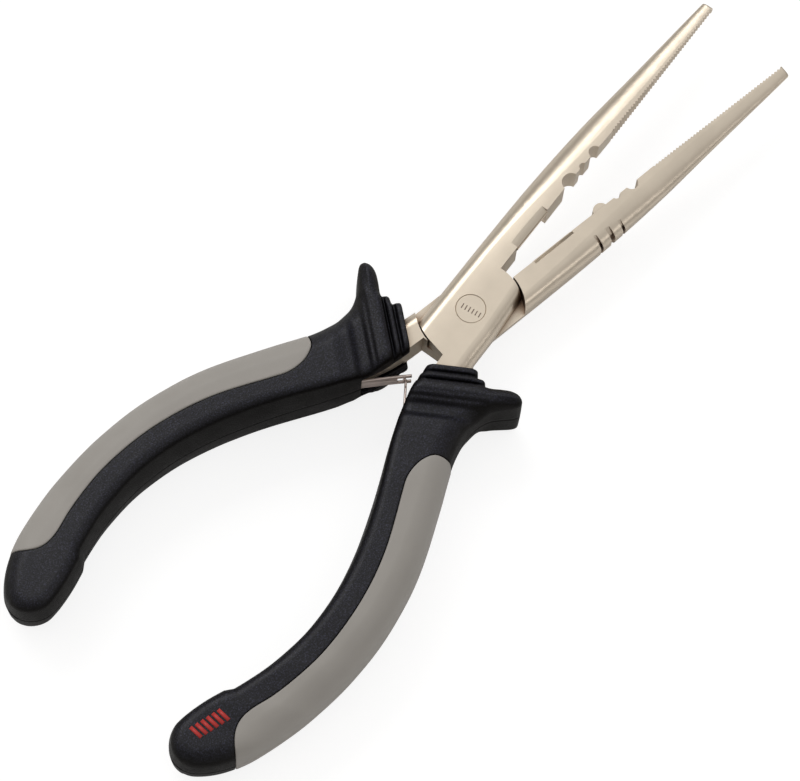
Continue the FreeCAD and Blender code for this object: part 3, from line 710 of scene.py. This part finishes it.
def strip(name, lower, bands):
    """A bent strip made of bands, each a list of (s, z from, z to)."""
    points, faces = [], []
    for band in bands:
        first = len(points)
        for s, z0, z1 in band:
            for side in (-1, 1):
                x, y = leaf_centre(s) + LEAF_NORMAL * side * LEAF_THICKNESS / 2
                points += [(x, y, z0), (x, y, z1)]
        last = len(points) - 4
        for a in range(first, last, 4):
            b = a + 4
            faces += [(a, a + 1, b + 1, b), (a + 3, a + 2, b + 2, b + 3),
                      (a + 2, a, b, b + 2), (a + 1, a + 3, b + 3, b + 1)]
        faces += [(first + 1, first, first + 2, first + 3), (last, last + 1, last + 3, last + 2)]
    return clean(new_mesh(name, to_frame(points, lower), faces, spring_steel, smooth=False),
                 merge=True)


def fork_bands():
    wide, gap = LEAF_HALF_WIDTH, FORK_GAP_HALF
    return [[(s, -wide, wide) for s in (*WIDE_STATIONS, END_STATIONS[0])],
            [(s, gap, wide) for s in END_STATIONS],
            [(s, -wide, -gap) for s in END_STATIONS]]


def tongue_bands():
    band = []
    for s in (*WIDE_STATIONS, *END_STATIONS):
        if s <= TONGUE_END:
            narrowing = unit_ramp(s, 7.4, 0.7)
            half = LEAF_HALF_WIDTH + (TONGUE_HALF - LEAF_HALF_WIDTH) * narrowing
            band.append((s, -half, half))
    return [band]


def tongue_curl():
    """Curled end of the tongue."""
    centre = leaf_centre(CURL_AT) + LEAF_NORMAL * CURL_OFFSET
    points, faces = [], []
    for k in range(CURL_STEPS + 1):
        angle = math.radians(-90 + 215 * k / CURL_STEPS)
        for radius in CURL_RADII:
            x, y = (centre + LEAF_ALONG * radius * math.cos(angle)
                    + LEAF_NORMAL * radius * math.sin(angle))
            points += [(x, y, -TONGUE_HALF), (x, y, TONGUE_HALF)]
    last = 4 * CURL_STEPS
    for a in range(0, last, 4):
        b = a + 4
        faces += [(a, b, b + 1, a + 1), (a + 3, b + 3, b + 2, a + 2),
                  (a + 2, b + 2, b, a), (a + 1, b + 1, b + 3, a + 3)]
    faces += [(0, 1, 3, 2), (last + 2, last + 3, last + 1, last)]
    return clean(new_mesh("tongue_leaf_curl", to_frame(points, False), faces, spring_steel))


fork = strip("fork_leaf_strip", True, fork_bands())
tongue = strip("tongue_leaf_strip", False, tongue_bands())
curl = tongue_curl()
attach(curl, "tongue_spring")
for leaf, carrier, spring, lower, node in (
        (fork, "lower_side", "fork_spring", True, "fork_leaf"),
        (tongue, "upper_side", "tongue_spring", False, "tongue_leaf")):
    # points at these distances along the strip, in the tool's frame
    start, end = to_frame([(*(LEAF_ROOT + s * LEAF_ALONG), 0) for s in (-0.5, 3.0)], lower)
    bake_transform(leaf)
    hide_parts(node)

# ------------------------------------------------------------------ marks
MARK_COUNT = 6
BAR_FIRST, BAR_LAST = np.array([-116.4, -11.3]), np.array([-109.8, -13.75])
BAR_CORNERS = ((-0.60, -1.55), (0.25, -1.65), (0.60, 1.55), (-0.25, 1.65))
STROKE_MIDDLE = -0.30                       # x and y of the middle of the row
STROKE_ROW = (0.105, -0.995)                # direction of the row
STROKE_PITCH = 0.88
STROKE_HALF_WIDTH, STROKE_HALF_LENGTH = 0.13, 0.62


def raised_marks(name, outlines, low, high, material):
    """Thin prisms on the upper half, over four-cornered outlines of (x, y, surface z)."""
    points, faces = [], []
    for outline in outlines:
        n = len(points)
        for offset in (low, high):
            points += [(x, y, z + offset) for x, y, z in outline]
        faces += [(n + 3, n + 2, n + 1, n), (n + 4, n + 5, n + 6, n + 7)]
        for j in range(4):
            k = (j + 1) % 4
            faces.append((n + j, n + k, n + 4 + k, n + 4 + j))
    return new_mesh(name, to_frame(points, False), faces, material, smooth=False)


def bar_outline(k):
    outline = []
    for x, y in BAR_FIRST + (BAR_LAST - BAR_FIRST) * k / (MARK_COUNT - 1) + BAR_CORNERS:
        i, j = int(round((x - GRID_X0) / CELL)), int(round((y - GRID_Y0) / CELL))
        outline.append((x, y, top_face[i, j]))
    return outline


def stroke_outline(k):
    row_x, row_y = STROKE_ROW
    place = STROKE_PITCH * (k - (MARK_COUNT - 1) / 2)
    x, y = STROKE_MIDDLE + row_x * place, STROKE_MIDDLE + row_y * place
    outline = []
    for side, end in ((-1, -1), (1, -1), (1, 1), (-1, 1)):
        a, b = side * STROKE_HALF_WIDTH, end * STROKE_HALF_LENGTH
        outline.append((x + row_x * a - row_y * b, y + row_y * a + row_x * b, RIVET_TOP))
    return outline


for name, outline, low, high, material, slot in (
        ("tail_bars", bar_outline, -0.12, 0.05, red_print, "black_grip"),
        ("rivet_strokes", stroke_outline, -0.05, 0.02, etched_tan, "rivet_steel")):
    outlines = [outline(k) for k in range(MARK_COUNT)]
    marks = raised_marks(name, outlines, low, high, material)
    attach(marks, "upper_side")

# ------------------------------------------------------------------ floor
FLOOR_Z = -0.00990                          # metres


def floor_material(name):
    """White paper that glows to the camera and only faintly in reflections."""
    nodes, shader, coords = new_surface(name)
    cloud = nodes.grain(coords, scale=3, detail=2.0, roughness=0.5)
    rays = nodes.add("LightPath").outputs
    paper = nodes.ramp(cloud, (0.0, grey(0.90)), (1.0, grey(0.92)))
    seen = nodes.ramp(rays["Is Camera Ray"], (0.0, grey(1)), (1.0, grey(0.34)))
    glow = nodes.math(
        "ADD",
        nodes.remap(rays["Is Camera Ray"], source=(0, 1), target=(0.0, 0.82)),
        nodes.remap(rays["Is Glossy Ray"], source=(0, 1), target=(0.0, 0.04)))
    nodes.fill(shader, {"Base Color": nodes.mix(paper, seen), "Roughness": 0.9,
                        "Specular IOR Level": 0.0, "Emission Color": (1, 1, 1, 1),
                        "Emission Strength": glow})
    return nodes.owner


bpy.ops.mesh.primitive_plane_add(size=6.0, location=(0, 0, FLOOR_Z))
floor = bpy.context.object
floor.name = "floor"
floor.data.materials.append(floor_material("floor_paper"))

# ------------------------------------------------------------------ lights and world
VIEW_TURN = math.radians(46.75)             # turn of the tool in the view, about Z


def view_direction(right, up, z):
    """Direction from right and up in the view, both along the ground, and height."""
    ground = Vector((right, up, 0))
    ground.rotate(Matrix.Rotation(-VIEW_TURN, 3, "Z"))
    return Vector((ground.x, ground.y, z))


# name, view direction, distance, (width, height), energy, colour
LIGHTS = [
    ("key", (-0.36, 0.62, 0.75), 1.3, (0.95, 0.50), 5.0, (1.0, 0.995, 0.985)),
    ("side", (-0.95, 0.25, 0.75), 1.3, (0.8, 0.5), 1.3, (1.0, 0.99, 0.97)),
    ("rim", (0.9, -0.6, 0.6), 1.2, (0.7, 0.2), 1.1, (1.0, 0.99, 0.975))]
for name, direction, distance, size, energy, color in LIGHTS:
    light = bpy.data.lights.new(name, "AREA")
    light.energy = energy
    light.color = color
    light.shape = "RECTANGLE"
    light.size, light.size_y = size
    lamp = bpy.data.objects.new(name, light)
    scene.collection.objects.link(lamp)
    offset = view_direction(*direction).normalized() * distance
    lamp.location = PIVOT + offset
    lamp.rotation_euler = (-offset).to_track_quat("-Z", "Y").to_euler()


def build_world():
    """White to the camera; otherwise grey, brightest round one direction overhead."""
    scene.world = bpy.data.worlds.new("studio")
    nodes = Nodes(scene.world)
    output = nodes.add("OutputWorld")
    brightest = view_direction(0.17, 0.24, 0.95).normalized()
    facing = nodes.vector_math("DOT_PRODUCT", "Value",
                               nodes.add("TexCoord").outputs["Generated"], brightest)
    sky = nodes.ramp(nodes.remap(facing, source=(0.0, 1.0), target=(0.0, 1.0)),
                     (0.0, (0.28, 0.268, 0.256)), (0.55, (0.34, 0.33, 0.32)),
                     (0.74, (0.50, 0.49, 0.48)), (0.85, (0.72, 0.71, 0.70)),
                     (0.93, (0.80, 0.795, 0.79)), (1.0, (0.83, 0.825, 0.82)))
    lit = nodes.add("Background", {0: sky, 1: 1.0})
    white = nodes.add("Background", {0: (1, 1, 1, 1), 1: 1.0})
    seen = nodes.add("LightPath").outputs["Is Camera Ray"]
    mixed = nodes.add("MixShader", {0: seen, 1: lit.outputs[0], 2: white.outputs[0]})
    nodes.fill(output, {0: mixed.outputs[0]})


build_world()

# ------------------------------------------------------------------ camera
VIEW_TILT = math.radians(20.5)              # off straight down
TILT_TURN = math.radians(7.0)               # turn of the tilt axis about Z
# middle of the rivet's top from the camera, mm: right, up, back
RIVET_IN_VIEW = Vector((15.886843, 18.390211, -1010.327795))

turn = Matrix.Rotation(TILT_TURN, 3, "Z")
tilt = turn.inverted() @ (Matrix.Rotation(-VIEW_TILT, 3, "X") @ turn)
to_camera = tilt @ Matrix.Rotation(VIEW_TURN, 3, "Z")
from_camera = to_camera.transposed()
pivot_in_view = RIVET_IN_VIEW - to_camera @ Vector((0, 0, RIVET_TOP))
position = -(from_camera @ pivot_in_view) * MM + PIVOT

camera_data = bpy.data.cameras.new("camera")
camera_data.sensor_width = 36.0
camera_data.lens = 202.5
camera_data.clip_start = 0.05
camera_data.clip_end = 20.0
camera = bpy.data.objects.new("camera", camera_data)
scene.collection.objects.link(camera)
camera.matrix_world = Matrix.Translation(position) @ from_camera.to_4x4()
scene.camera = camera
